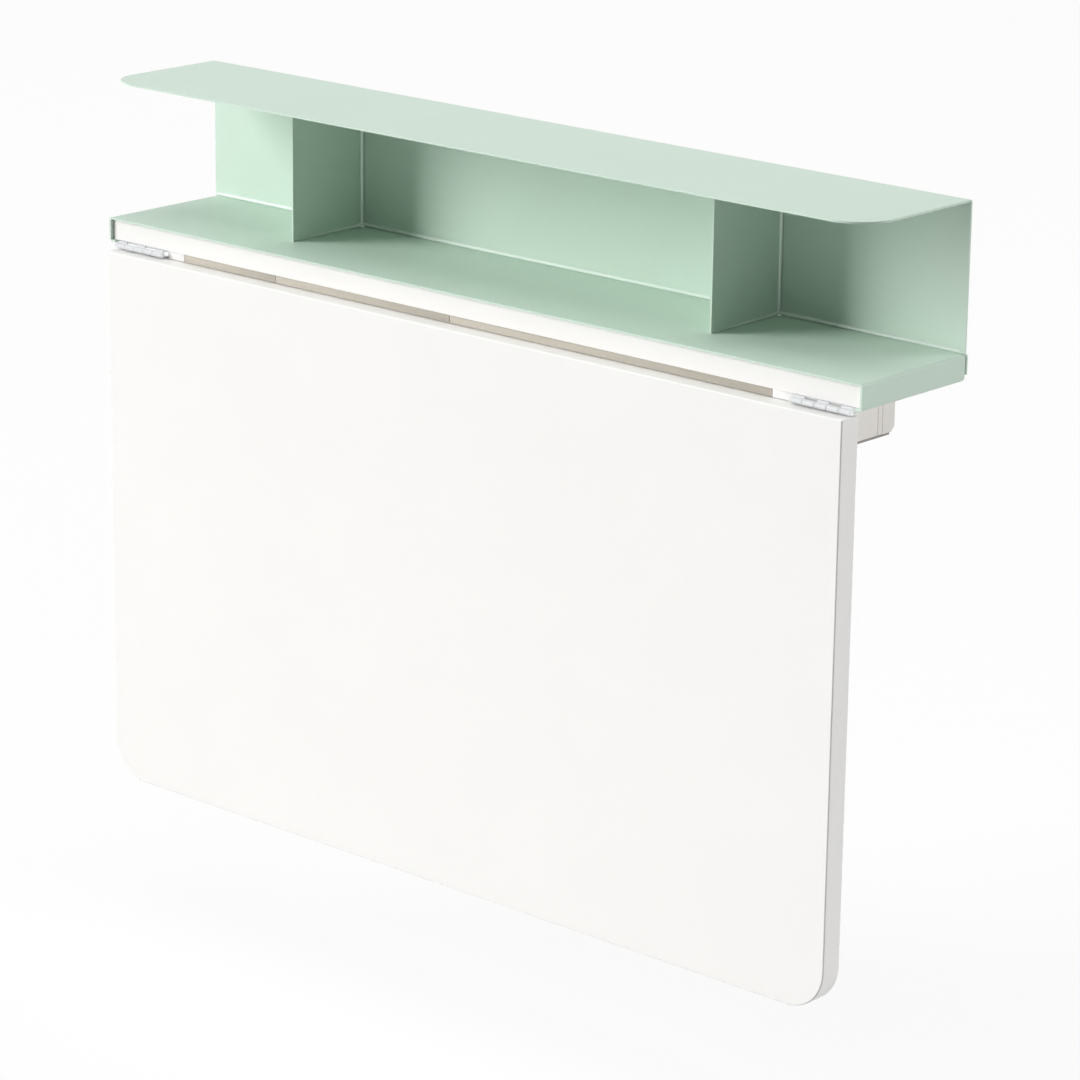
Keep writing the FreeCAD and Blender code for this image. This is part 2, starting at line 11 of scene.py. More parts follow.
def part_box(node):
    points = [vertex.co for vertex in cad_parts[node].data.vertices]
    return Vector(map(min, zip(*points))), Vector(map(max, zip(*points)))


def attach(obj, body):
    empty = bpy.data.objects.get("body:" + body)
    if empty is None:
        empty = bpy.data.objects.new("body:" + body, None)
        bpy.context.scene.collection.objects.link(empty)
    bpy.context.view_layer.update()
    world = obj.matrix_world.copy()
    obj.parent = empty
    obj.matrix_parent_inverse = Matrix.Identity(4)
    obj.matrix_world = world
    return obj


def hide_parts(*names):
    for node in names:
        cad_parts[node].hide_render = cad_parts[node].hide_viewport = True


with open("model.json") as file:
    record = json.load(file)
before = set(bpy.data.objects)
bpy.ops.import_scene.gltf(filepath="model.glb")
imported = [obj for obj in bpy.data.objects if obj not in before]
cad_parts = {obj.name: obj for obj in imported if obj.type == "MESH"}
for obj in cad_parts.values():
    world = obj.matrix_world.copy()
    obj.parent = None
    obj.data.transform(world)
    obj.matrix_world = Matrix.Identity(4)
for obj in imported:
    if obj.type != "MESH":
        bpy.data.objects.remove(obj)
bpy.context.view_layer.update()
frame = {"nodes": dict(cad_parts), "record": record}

bl_info = {
    "name": "Drop Leaf Table Finish",
    "version": (1, 0, 0),
    "blender": (4, 5, 0),
    "location": "View3D > Sidebar > Drop Leaf Table",
    "description": "Coated steel, white boards, hinges and screws for a wall mounted drop leaf table",
    "category": "Object",
}

MM = 0.001
FIXED_BODY = "wall_unit"
LEAF_BODY = "leaf"
SIDES = ("left", "right")
DIVIDERS = ("divider_left", "divider_right")
HINGE_AXIS = Vector(frame["record"]["behaviour"]["joints"][0]["pos_m"])
RIGHT, FRONT, UP = Vector((1, 0, 0)), Vector((0, -1, 0)), Vector((0, 0, 1))
WHITE = (1, 1, 1, 1)
# Edges that turn by more than this stay sharp.
SMOOTH_ANGLE = math.radians(35)
# Corners of a CAD mesh that are closer than this are one.
WELD_DISTANCE = 0.001 * MM
# A screw's crown and cross slots, as shares of the head's radius, and their depth as a share of its height.
PAN_CROWN, SLOT_LENGTH, SLOT_WIDTH, SLOT_DEPTH = 0.86, 1.2, 0.24, 0.6
# The lights face this point, on the shelf, from this far away.
LIT_POINT = Vector((0, -0.1, 0.1))
LIGHT_DISTANCE = 20.0


class FinishColours(bpy.types.PropertyGroup):
    """Colours of the table's finishes, as sRGB hex values."""

    steel: bpy.props.StringProperty(
        name="Coated steel", description="Mint powder coat of the shelf", default="#D2E4D7")
    # The paler colour of the rolled edges is a painted highlight, standing in for the bright line that gloss
    # would give.
    pooled: bpy.props.StringProperty(
        name="Pooled coat", description="Paler coat along the shelf's rolled edges", default="#F0FAF3")
    leaf: bpy.props.StringProperty(
        name="Leaf", description="White melamine of the leaf and the fixed board", default="#F5F4F2")
    paint: bpy.props.StringProperty(
        name="Painted timber", description="White paint of the frame behind the leaf", default="#EAE7E2")
    birch: bpy.props.StringProperty(
        name="Lacquered timber", description="Pale birch of the swing arms and the lath", default="#C0BAAE")
    nickel: bpy.props.StringProperty(
        name="Hinges", description="Nickel plate of the hinges and their screws", default="#F2F4F6")
    zinc: bpy.props.StringProperty(
        name="Fixings", description="Zinc plate of the frame's screws and bolts", default="#C4C7CB")
    fibre: bpy.props.StringProperty(
        name="Bottom panel", description="Grey face of the hardboard panel", default="#A29D97")
    felt: bpy.props.StringProperty(
        name="Felt", description="Grey felt of the arm pads", default="#9C9A97")


class FinishSizes(bpy.types.PropertyGroup):
    """Sizes of the details that the finish adds."""

    bead: bpy.props.FloatProperty(
        name="Seam bead", description="Radius of the rolled edges along the shelf's seams",
        default=1.9 * MM, unit="LENGTH")
    bead_end: bpy.props.FloatProperty(
        name="Bead end", description="Share of its radius that a rolled edge keeps at its ends",
        default=0.2, subtype="FACTOR")
    bead_taper: bpy.props.FloatProperty(
        name="Bead taper", description="Length over which the rolled edge at the back panel's foot thins out",
        default=6.0 * MM, unit="LENGTH")
    crack: bpy.props.FloatProperty(
        name="Seam crack", description="Gap under a rolled edge", default=0.5 * MM, unit="LENGTH")
    relief: bpy.props.FloatProperty(
        name="Divider corner", description="Rounded rear corners of the dividers",
        default=6.0 * MM, unit="LENGTH")
    hinge_gauge: bpy.props.FloatProperty(
        name="Hinge gauge", description="Thickness of the hinge plates", default=1.5 * MM, unit="LENGTH")
    hinge_bore: bpy.props.FloatProperty(
        name="Hinge bore", description="Radius of the hole in the knuckles", default=1.45 * MM, unit="LENGTH")
    hinge_bend: bpy.props.FloatProperty(
        name="Hinge bend", description="Radius of the bends, in the middle of the plate",
        default=1.1 * MM, unit="LENGTH")
    hinge_inset: bpy.props.FloatProperty(
        name="Hinge inset", description="How far the moving plate stops short of the outer knuckles' ends",
        default=3.0 * MM, unit="LENGTH")
    knuckles: bpy.props.IntProperty(
        name="Knuckles", description="Knuckles in each hinge", default=5)
    knuckle_play: bpy.props.FloatProperty(
        name="Knuckle play", description="Gap between two knuckles", default=0.4 * MM, unit="LENGTH")
    knuckle_chamfer: bpy.props.FloatProperty(
        name="Knuckle chamfer", description="Broken ends of the knuckles", default=0.5 * MM, unit="LENGTH")
    small_shank: bpy.props.FloatProperty(
        name="Small shank", description="Radius of the hinge and flange screws",
        default=1.3 * MM, unit="LENGTH")
    frame_shank: bpy.props.FloatProperty(
        name="Frame shank", description="Radius of the frame's screws and bolts",
        default=1.75 * MM, unit="LENGTH")
    pivot_shank: bpy.props.FloatProperty(
        name="Pivot shank", description="Radius of the arms' pivot bolts", default=4.0 * MM, unit="LENGTH")
    tray_bolt_head: bpy.props.FloatProperty(
        name="Tray bolt head", description="Height of a tray bolt's head", default=2.4 * MM, unit="LENGTH")
    pivot_head: bpy.props.FloatProperty(
        name="Pivot head", description="Height of a pivot bolt's head", default=4.0 * MM, unit="LENGTH")
    proud_head: bpy.props.FloatProperty(
        name="Proud head", description="How far the hinge screws stand out", default=0.35 * MM, unit="LENGTH")
    lath_setback: bpy.props.FloatProperty(
        name="Lath setback", description="From the board's front to the lath under it",
        default=2.5 * MM, unit="LENGTH")
    lath_depth: bpy.props.FloatProperty(
        name="Lath depth", description="From the lath's front to its back", default=6.0 * MM, unit="LENGTH")
    lath_height: bpy.props.FloatProperty(
        name="Lath height", description="How far the lath fills the gap above the leaf",
        default=8.4 * MM, unit="LENGTH")
    lath_joints: bpy.props.FloatVectorProperty(
        name="Lath joints", description="Ends and joints of the lath, from left to right",
        default=(-392 * MM, -258 * MM, -15 * MM, 392 * MM), size=4, unit="LENGTH")
    lath_end: bpy.props.FloatProperty(
        name="Lath end", description="Length of the white block between the lath and a hinge",
        default=25 * MM, unit="LENGTH")
    lath_gap: bpy.props.FloatProperty(
        name="Lath gap", description="Gap at a joint of the lath", default=0.6 * MM, unit="LENGTH")
    lath_edge: bpy.props.FloatProperty(
        name="Lath edge", description="Rounded edges of the lath", default=0.3 * MM, unit="LENGTH")
    pad_edge: bpy.props.FloatProperty(
        name="Pad edge", description="Rounded edges of the felt pads", default=0.7 * MM, unit="LENGTH")


class StageSettings(bpy.types.PropertyGroup):
    """Camera, lights and floor."""

    camera_place: bpy.props.FloatVectorProperty(
        name="Camera", description="Where the camera stands",
        default=(2.7238, -3.1046, 1.0122), subtype="XYZ")
    camera_yaw: bpy.props.FloatProperty(
        name="Yaw", description="Turn of the camera to the left",
        default=math.radians(41.57), subtype="ANGLE")
    camera_pitch: bpy.props.FloatProperty(
        name="Pitch", description="How far the camera looks down",
        default=math.radians(16.73), subtype="ANGLE")
    camera_roll: bpy.props.FloatProperty(
        name="Roll", description="Tilt of the camera", default=math.radians(0.74), subtype="ANGLE")
    camera_lens: bpy.props.FloatProperty(
        name="Lens", description="Focal length on a 36 mm sensor, in millimetres", default=140.07)
    table_height: bpy.props.FloatProperty(
        name="Table height", description="From the floor to the raised leaf's face",
        default=0.75, unit="LENGTH")
    floor_half: bpy.props.FloatProperty(
        name="Floor", description="From the floor's middle to its edges", default=6.0, unit="LENGTH")
    floor_bounce: bpy.props.StringProperty(
        name="Floor bounce", description="Colour of the floor to light that bounces off it",
        default="#C2C2C1")
    floor_seen: bpy.props.StringProperty(
        name="Floor seen", description="Colour of the floor to the camera, below its white",
        default="#F9F9F8")
    floor_white: bpy.props.FloatProperty(
        name="Floor white", description="Share of plain white in the floor that the camera sees",
        default=0.88, subtype="FACTOR")
    ambient: bpy.props.FloatProperty(
        name="Ambient", description="Even light from all sides, as a share of white", default=0.08)
    key: bpy.props.FloatProperty(
        name="Key", description="Soft light from the left, as the share of white on a surface that faces it",
        default=1.24)
    top: bpy.props.FloatProperty(
        name="Top", description="Soft light from overhead, in the same terms", default=0.40)
    rim: bpy.props.FloatProperty(
        name="Rim", description="Soft light from behind the right end, in the same terms", default=0.71)


def linear(hex_colour):
    """Linear RGBA of an sRGB hex value."""
    channels = [int(hex_colour[i:i + 2], 16) / 255 for i in (1, 3, 5)]
    return (*(c / 12.92 if c <= 0.04045 else ((c + 0.055) / 1.055) ** 2.4 for c in channels), 1.0)


def add(tree, kind, settings=None, inputs=None, links=None):
    """Add a node, set it up and link its inputs."""
    node = tree.nodes.new(kind)
    for name, value in (settings or {}).items():
        setattr(node, name, value)
    for name, value in (inputs or {}).items():
        node.inputs[name].default_value = value
    for name, sources in (links or {}).items():
        for source in sources if isinstance(sources, list) else [sources]:
            tree.links.new(source, node.inputs[name])
    return node


def new_material(name, colour, roughness, **sockets):
    """A material with one principled shader, its flat values on the shader's own sockets."""
    material = bpy.data.materials.new(name)
    material.use_nodes = True
    shader = material.node_tree.nodes["Principled BSDF"]
    shader.inputs["Base Color"].default_value = linear(colour)
    shader.inputs["Roughness"].default_value = roughness
    for socket, value in sockets.items():
        shader.inputs[socket.replace("_", " ")].default_value = value
    return material, material.node_tree, shader


def noise(tree, size, detail=2.0, stretch=(1, 1, 1)):
    """Noise on object coordinates with a feature size in metres."""
    place = add(tree, "ShaderNodeTexCoord").outputs["Object"]
    mapping = add(tree, "ShaderNodeMapping", inputs={"Scale": stretch}, links={"Vector": place})
    inputs = {"Scale": 1 / size, "Detail": detail}
    return add(tree, "ShaderNodeTexNoise", inputs=inputs, links={"Vector": mapping.outputs[0]}).outputs["Fac"]


def mottle(tree, shader, factor, colour, darker, span=(0.3, 0.7)):
    """Let the base colour drift down to a darker tone of itself."""
    base = linear(colour)
    ramp = add(tree, "ShaderNodeValToRGB", links={"Fac": factor})
    low, high = ramp.color_ramp.elements
    low.position, high.position = span
    low.color = (*(channel * darker for channel in base[:3]), 1.0)
    high.color = base
    tree.links.new(ramp.outputs["Color"], shader.inputs["Base Color"])


def gloss(tree, shader, factor, low, high):
    """Let the roughness drift between two values."""
    ramp = add(tree, "ShaderNodeMapRange", inputs={"To Min": low, "To Max": high}, links={"Value": factor})
    tree.links.new(ramp.outputs["Result"], shader.inputs["Roughness"])


def emboss(tree, shader, height, strength, depth):
    """Raise the surface by a height pattern of a depth in metres."""
    inputs = {"Strength": strength, "Distance": depth}
    bump = add(tree, "ShaderNodeBump", inputs=inputs, links={"Height": height})
    tree.links.new(bump.outputs["Normal"], shader.inputs["Normal"])


def powder_coated_steel(colour):
    """Polyester powder coat on sheet steel: an even satin skin with a faint orange peel."""
    material, tree, shader = new_material("powder_coated_steel", colour, roughness=0.48, IOR=1.34)
    cloud = noise(tree, 90 * MM)
    mottle(tree, shader, cloud, colour, darker=0.975)
    gloss(tree, shader, cloud, low=0.44, high=0.52)
    emboss(tree, shader, noise(tree, 1.6 * MM, detail=3.0), strength=0.06, depth=0.15 * MM)
    return material


def highlight_painted_coat(colour):
    """The coat of a rolled edge: glossier than the sheet's, and its paler colour is a painted highlight that
    draws a bright line.
    """
    material, tree, shader = new_material(
        "highlight_painted_coat", colour, roughness=0.3, IOR=1.5, Coat_Weight=1.0, Coat_Roughness=0.16, Coat_IOR=1.7)
    gloss(tree, shader, noise(tree, 40 * MM), low=0.26, high=0.34)
    return material


def melamine_board(colour):
    """Melamine-faced board: a flat white foil with a fine pearl grain and a soft sheen."""
    material, tree, shader = new_material("melamine_board", colour, roughness=0.4, IOR=1.5)
    cloud = noise(tree, 160 * MM)
    mottle(tree, shader, cloud, colour, darker=0.985)
    gloss(tree, shader, cloud, low=0.36, high=0.44)
    emboss(tree, shader, noise(tree, 0.9 * MM), strength=0.05, depth=0.1 * MM)
    return material


def painted_timber(colour):
    """Brush-painted softwood: a matt white whose grain still lifts the coat along the board."""
    material, tree, shader = new_material("painted_timber", colour, roughness=0.55, IOR=1.47)
    grain = noise(tree, 2.2 * MM, detail=4.0, stretch=(0.06, 1, 1))
    mottle(tree, shader, grain, colour, darker=0.96)
    gloss(tree, shader, grain, low=0.5, high=0.62)
    emboss(tree, shader, grain, strength=0.12, depth=0.2 * MM)
    return material


def lacquered_birch(colour):
    """Clear-lacquered birch: pale beige with fine darker grain along its length."""
    material, tree, shader = new_material("lacquered_birch", colour, roughness=0.48, IOR=1.48)
    grain = noise(tree, 3.0 * MM, detail=5.0, stretch=(0.05, 1, 1))
    mottle(tree, shader, grain, colour, darker=0.9)
    gloss(tree, shader, grain, low=0.4, high=0.55)
    emboss(tree, shader, grain, strength=0.1, depth=0.2 * MM)
    return material


def nickel_plated_steel(colour):
    """Satin nickel on pressed steel: a pale, slightly cold sheen, softened by barrel polishing."""
    material, tree, shader = new_material("nickel_plated_steel", colour, roughness=0.38, Metallic=1.0)
    polish = noise(tree, 1.2 * MM, detail=3.0, stretch=(0.15, 1, 1))
    mottle(tree, shader, polish, colour, darker=0.95)
    gloss(tree, shader, polish, low=0.32, high=0.44)
    return material


def zinc_plated_steel(colour):
    """Passivated zinc on steel screws: a cooler grey metal with a dull bloom."""
    material, tree, shader = new_material("zinc_plated_steel", colour, roughness=0.36, Metallic=1.0)
    bloom = noise(tree, 1.5 * MM, detail=3.0)
    mottle(tree, shader, bloom, colour, darker=0.82)
    gloss(tree, shader, bloom, low=0.3, high=0.48)
    return material


def hardboard(colour):
    """Hardboard: pressed grey-brown fibre with a matt, slightly mottled face."""
    material, tree, shader = new_material("hardboard", colour, roughness=0.72)
    fibre = noise(tree, 1.4 * MM, detail=5.0)
    mottle(tree, shader, fibre, colour, darker=0.8)
    emboss(tree, shader, fibre, strength=0.15, depth=0.2 * MM)
    return material


def wool_felt(colour):
    """Needled wool felt: a matt nap of short fibres, drawn coarser than life so that it shows."""
    material, tree, shader = new_material(
        "wool_felt", colour, roughness=0.95, Sheen_Weight=0.4, Sheen_Roughness=0.5)
    nap = noise(tree, 0.8 * MM, detail=6.0)
    mottle(tree, shader, nap, colour, darker=0.65)
    emboss(tree, shader, nap, strength=0.5, depth=0.4 * MM)
    return material


def finish(maker, colour):
    """The material of a finish, made once."""
    return bpy.data.materials.get(maker.__name__) or maker(colour)


def coat(material, *nodes):
    """Give CAD nodes a finish."""
    for name in nodes:
        mesh = frame["nodes"][name].data
        mesh.materials.clear()
        mesh.materials.append(material)


def fit(name, mesh, body, slot, *replaced):
    """Put a finished mesh on a body, in place of the CAD nodes that it replaces."""
    mesh.name = name
    piece = bpy.data.objects.new(name, mesh)
    bpy.context.collection.objects.link(piece)
    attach(piece, body)
    if replaced:
        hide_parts(*replaced)
    return piece


def smooth(mesh):
    """Shade a mesh smooth, apart from its sharp edges."""
    mesh.shade_smooth()
    mesh.set_sharp_from_angle(angle=SMOOTH_ANGLE)


def to_mesh(bm, material):
    """A mesh with its faces outwards, in one material."""
    bmesh.ops.recalc_face_normals(bm, faces=bm.faces)
    mesh = bpy.data.meshes.new("mesh")
    bm.to_mesh(mesh)
    bm.free()
    mesh.materials.append(material)
    smooth(mesh)
    return mesh


def boxed(bm, low, high, rounding):
    """A box between two corners, with rounded edges."""
    middle, size = (low + high) / 2, high - low
    made = bmesh.ops.create_cube(bm, matrix=Matrix.Translation(middle) @ Matrix.Diagonal((*size, 1)))
    edges = list({edge for vert in made["verts"] for edge in vert.link_edges})
    bmesh.ops.bevel(bm, geom=edges, offset=rounding, segments=2, profile=0.5, affect="EDGES")


def bridge(bm, ring, after):
    """Faces between two rings of equally many points."""
    for i, vert in enumerate(ring):
        j = (i + 1) % len(ring)
        bm.faces.new((vert, ring[j], after[j], after[i]))


def swept(bm, sections):
    """A closed skin through sections of equally many points."""
    rings = [[bm.verts.new(point) for point in section] for section in sections]
    for ring, after in zip(rings, rings[1:]):
        bridge(bm, ring, after)
    bm.faces.new(rings[0])
    bm.faces.new(reversed(rings[-1]))


def arc(middle, radius, start, end, steps=6):
    """Points of an arc in a plane, between two angles in degrees."""
    angles = [math.radians(start + (end - start) * step / steps) for step in range(steps + 1)]
    return [Vector(middle) + radius * Vector((math.cos(angle), math.sin(angle))) for angle in angles]


def rolled_edge(bm, path, out, sizes):
    """A bead along (point, inward) pairs, half sunk in the sheet that they edge, and thin at both ends."""
    sections = []
    for index, (point, inward) in enumerate(path):
        at_end = index in (0, len(path) - 1)
        radius = sizes.bead * sizes.bead_end if at_end else sizes.bead
        profile = arc((0, sizes.crack + radius), radius, 0, 360, steps=12)[:-1]
        sections.append([point + out * a + inward * b for a, b in profile])
    swept(bm, sections)


def divider_edge(low, high, radius):
    """The bottom, rear and top edges of a divider, as (point, inward) pairs."""
    path = [(Vector((0, low.y, low.z)), UP)]
    rear = high.y - radius
    for middle, start in (((rear, low.z + radius), -90), ((rear, high.z - radius), 0)):
        for point in arc(middle, radius, start, start + 90, steps=8):
            inward = (Vector(middle) - point).normalized()
            path.append((Vector((0, *point)), Vector((0, *inward))))
    return [*path, (Vector((0, low.y, high.z)), -UP)]


class TABLE_OT_coat_shelf(bpy.types.Operator):
    """Powder coat the shelf, and roll the edges along its seams"""

    bl_idname = "table.coat_shelf"
    bl_label = "Coat the shelf"

    def execute(self, context):
        sizes, colours = context.scene.table_sizes, context.scene.table_colours
        coat(finish(powder_coated_steel, colours.steel), "shelf_hood", "shelf_tray", *DIVIDERS)
        bm = bmesh.new()
        for name in DIVIDERS:
            low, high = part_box(name)
            edge = divider_edge(low, high, sizes.relief)
            for x, out in ((low.x, -RIGHT), (high.x, RIGHT)):
                path = [(point + RIGHT * x, inward) for point, inward in edge]
                rolled_edge(bm, path, out, sizes)
        # The dividers reach back to the front of the back panel.
        panel_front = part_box(DIVIDERS[0])[1].y
        low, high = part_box("shelf_tray")
        stops = (low.x, low.x + sizes.bead_taper, high.x - sizes.bead_taper, high.x)
        rolled_edge(bm, [(Vector((x, panel_front, high.z)), UP) for x in stops], FRONT, sizes)
        # The rolled edges take the paler colour: a painted highlight along the seams.
        fit("shelf_rolled_edges", to_mesh(bm, finish(highlight_painted_coat, colours.pooled)), FIXED_BODY, "mint_steel")
        return {"FINISHED"}


class TABLE_OT_face_boards(bpy.types.Operator):
    """Face the leaf and the fixed board, and finish the frame behind them"""

    bl_idname = "table.face_boards"
    bl_label = "Face the boards"

    def execute(self, context):
        colours = context.scene.table_colours
        coat(finish(melamine_board, colours.leaf), "drop_leaf", "fixed_board")
        paint, birch = finish(painted_timber, colours.paint), finish(lacquered_birch, colours.birch)
        coat(paint, "wall_batten", "frame_back")
        for side in SIDES:
            coat(paint, f"cheek_{side}", f"pivot_block_{side}")
            coat(birch, f"swing_arm_{side}")
        coat(finish(hardboard, colours.fibre), "bottom_panel")
        return {"FINISHED"}


class TABLE_OT_fit_lath(bpy.types.Operator):
    """Fit the jointed lath under the board, which fills the gap above the leaf between the hinges"""

    bl_idname = "table.fit_lath"
    bl_label = "Fit the lath"

    def execute(self, context):
        sizes, colours = context.scene.table_sizes, context.scene.table_colours
        joints = list(sizes.lath_joints)
        lengths = list(zip(joints, joints[1:]))
        ends = [(joints[0] - sizes.lath_end, joints[0]), (joints[-1], joints[-1] + sizes.lath_end)]
        self.lath("gap_lath", lengths, sizes, finish(lacquered_birch, colours.birch), "bare_timber")
        self.lath("gap_lath_ends", ends, sizes, finish(melamine_board, colours.leaf), "white_laminate")
        return {"FINISHED"}

    def lath(self, name, lengths, sizes, material, slot):
        """Lengths of lath, each short of its joints."""
        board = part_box("fixed_board")[0]
        front = board.y + sizes.lath_setback
        back = front + sizes.lath_depth
        bm = bmesh.new()
        for start, end in lengths:
            low = Vector((start + sizes.lath_gap / 2, front, board.z - sizes.lath_height))
            high = Vector((end - sizes.lath_gap / 2, back, board.z))
            boxed(bm, low, high, sizes.lath_edge)
        fit(name, to_mesh(bm, material), FIXED_BODY, slot)


def knuckle(bm, start, end, radius, bore, chamfer):
    """A bored knuckle about the hinge's axis, its ends broken."""
    profile = [
        (start, bore), (start, radius - chamfer), (start + chamfer, radius),
        (end - chamfer, radius), (end, radius - chamfer), (end, bore),
    ]
    rings = []
    for way in arc((0, 0), 1.0, 0, 360, steps=32)[:-1]:
        rings.append([bm.verts.new((x, *(HINGE_AXIS.yz + way * r))) for x, r in profile])
    for ring, after in zip(rings, rings[1:] + rings[:1]):
        bridge(bm, ring, after)


def strip(bm, path, gauge, start, end):
    """A bent strip of plate along a path of points about the hinge's axis, from one x to another."""
    sides = []
    for i, point in enumerate(path):
        along = path[min(i + 1, len(path) - 1)] - path[max(i - 1, 0)]
        across = along.orthogonal().normalized() * gauge / 2
        sides.append((point + across, point - across))
    profile = [a for a, _ in sides] + [b for _, b in reversed(sides)]
    swept(bm, [[(x, *(HINGE_AXIS.yz + point)) for point in profile] for x in (start, end)])


class TABLE_OT_make_hinges(bpy.types.Operator):
    """Make the cranked hinges, with broken knuckles and bent plates"""

    bl_idname = "table.make_hinges"
    bl_label = "Make the hinges"

    def execute(self, context):
        sizes = context.scene.table_sizes
        material = finish(nickel_plated_steel, context.scene.table_colours.nickel)
        for side in SIDES:
            coat(material, f"hinge_pin_{side}")
            self.board_half(f"hinge_board_plate_{side}", sizes, material)
            self.leaf_half(f"hinge_leaf_plate_{side}", sizes, material)
        return {"FINISHED"}

    def board_half(self, node, sizes, material):
        """The fixed half, whose plate lies under the board."""
        low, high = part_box(node)
        bm, neck = self.knuckles(low, high, sizes, first=0, rise=1)
        level = neck[-1].y
        strip(bm, [neck[-1], Vector((high.y - HINGE_AXIS.y, level))], sizes.hinge_gauge, low.x, high.x)
        fit(node.replace("plate", "half"), to_mesh(bm, material), FIXED_BODY, "plated_steel", node)

    def leaf_half(self, node, sizes, material):
        """The moving half, bent over the leaf's top edge and down its back."""
        low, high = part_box(node)
        bm, neck = self.knuckles(low, high, sizes, first=1, rise=-1)
        level, bend = neck[-1].y, sizes.hinge_bend
        rear = high.y - HINGE_AXIS.y - sizes.hinge_gauge / 2
        fold = arc((rear - bend, level - bend), bend, 90, 0)
        path = [neck[-1], *fold, Vector((rear, low.z - HINGE_AXIS.z))]
        strip(bm, path, sizes.hinge_gauge, low.x + sizes.hinge_inset, high.x - sizes.hinge_inset)
        fit(node.replace("plate", "half"), to_mesh(bm, material), LEAF_BODY, "plated_steel", node)

    def knuckles(self, low, high, sizes, first, rise):
        """Every second knuckle with its neck, which rises or drops to the plate's level."""
        gauge, bend = sizes.hinge_gauge, sizes.hinge_bend
        radius = HINGE_AXIS.y - low.y
        root, level = radius - gauge / 2, rise * (radius + gauge / 2)
        turn = (180, 90) if rise > 0 else (180, 270)
        crank = arc((root + bend, level - rise * bend), bend, *turn)
        neck = [Vector((root, 0)), *crank, Vector((radius + gauge, level))]
        pitch, gap = (high.x - low.x) / sizes.knuckles, sizes.knuckle_play / 2
        bm = bmesh.new()
        for index in range(first, sizes.knuckles, 2):
            start, end = low.x + index * pitch + gap, low.x + (index + 1) * pitch - gap
            knuckle(bm, start, end, radius, sizes.hinge_bore, sizes.knuckle_chamfer)
            strip(bm, neck, gauge, start + sizes.knuckle_chamfer, end - sizes.knuckle_chamfer)
        return bm, neck


def islands(node):
    """The corners of each separate solid in a CAD node."""
    bm = bmesh.new()
    bm.from_mesh(frame["nodes"][node].data)
    bmesh.ops.remove_doubles(bm, verts=bm.verts, dist=WELD_DISTANCE)
    boxes, seen = [], set()
    for first in bm.verts:
        if first in seen:
            continue
        seen.add(first)
        stack, group = [first], []
        while stack:
            vert = stack.pop()
            group.append(vert.co.copy())
            fresh = {edge.other_vert(vert) for edge in vert.link_edges} - seen
            seen |= fresh
            stack.extend(fresh)
        boxes.append([Vector(pick(co[i] for co in group) for i in range(3)) for pick in (min, max)])
    bm.free()
    return boxes


SCREW_SIZES = (
    "Head radius", "Seat radius", "Head height", "Shank radius", "Length", "Slot width", "Slot depth",
)
SCREW_INPUTS = {
    "Points": "NodeSocketGeometry", **dict.fromkeys(SCREW_SIZES, "NodeSocketFloat"),
    "Turn": "NodeSocketVector", "Material": "NodeSocketMaterial",
}


def screw_tree():
    """A cross-recessed screw or bolt at each point, with the face of its head at the point."""
    tree = bpy.data.node_groups.new("recessed_screws", "GeometryNodeTree")
    for name, kind in SCREW_INPUTS.items():
        tree.interface.new_socket(name, in_out="INPUT", socket_type=kind)
    tree.interface.new_socket("Screws", in_out="OUTPUT", socket_type="NodeSocketGeometry")
    given = add(tree, "NodeGroupInput").outputs

    def times(value, factor):
        return add(tree, "ShaderNodeMath", {"operation": "MULTIPLY"}, {1: factor}, {0: value}).outputs[0]

    def lifted(geometry, height):
        offset = add(tree, "ShaderNodeCombineXYZ", links={"Z": height}).outputs[0]
        links = {"Geometry": geometry, "Translation": offset}
        return add(tree, "GeometryNodeTransform", links=links).outputs[0]

    cone = add(tree, "GeometryNodeMeshCone", inputs={"Vertices": 32}, links={
        "Radius Top": given["Head radius"], "Radius Bottom": given["Seat radius"],
        "Depth": given["Head height"]})
    head = lifted(cone.outputs["Mesh"], times(given["Head height"], -1.0))
    # The slot's block is centred on the head's face, so its lower half cuts.
    slot_size = add(tree, "ShaderNodeCombineXYZ", links={
        "X": times(given["Head radius"], SLOT_LENGTH), "Y": given["Slot width"],
        "Z": times(given["Slot depth"], 2.0)})
    slot = add(tree, "GeometryNodeMeshCube", links={"Size": slot_size.outputs[0]}).outputs["Mesh"]
    quarter_turn = {"Rotation": (0, 0, math.pi / 2)}
    across = add(tree, "GeometryNodeTransform", inputs=quarter_turn, links={"Geometry": slot})
    recessed = add(tree, "GeometryNodeMeshBoolean", {"operation": "DIFFERENCE"}, links={
        "Mesh 1": head, "Mesh 2": [slot, across.outputs[0]]})
    below = add(tree, "ShaderNodeMath", {"operation": "SUBTRACT"}, links={
        0: given["Length"], 1: given["Head height"]})
    shank = add(tree, "GeometryNodeMeshCylinder", inputs={"Vertices": 24}, links={
        "Radius": given["Shank radius"], "Depth": below.outputs[0]})
    twice_middle = add(tree, "ShaderNodeMath", {"operation": "ADD"}, links={
        0: given["Length"], 1: given["Head height"]})
    stem = lifted(shank.outputs["Mesh"], times(twice_middle.outputs[0], -0.5))
    screw = add(tree, "GeometryNodeJoinGeometry", links={"Geometry": [recessed.outputs["Mesh"], stem]})
    placed = add(tree, "GeometryNodeInstanceOnPoints", links={
        "Points": given["Points"], "Instance": screw.outputs[0], "Rotation": given["Turn"]})
    real = add(tree, "GeometryNodeRealizeInstances", links={"Geometry": placed.outputs[0]})
    plated = add(tree, "GeometryNodeSetMaterial", links={
        "Geometry": real.outputs[0], "Material": given["Material"]})
    add(tree, "NodeGroupOutput", links={"Screws": plated.outputs[0]})
    return tree


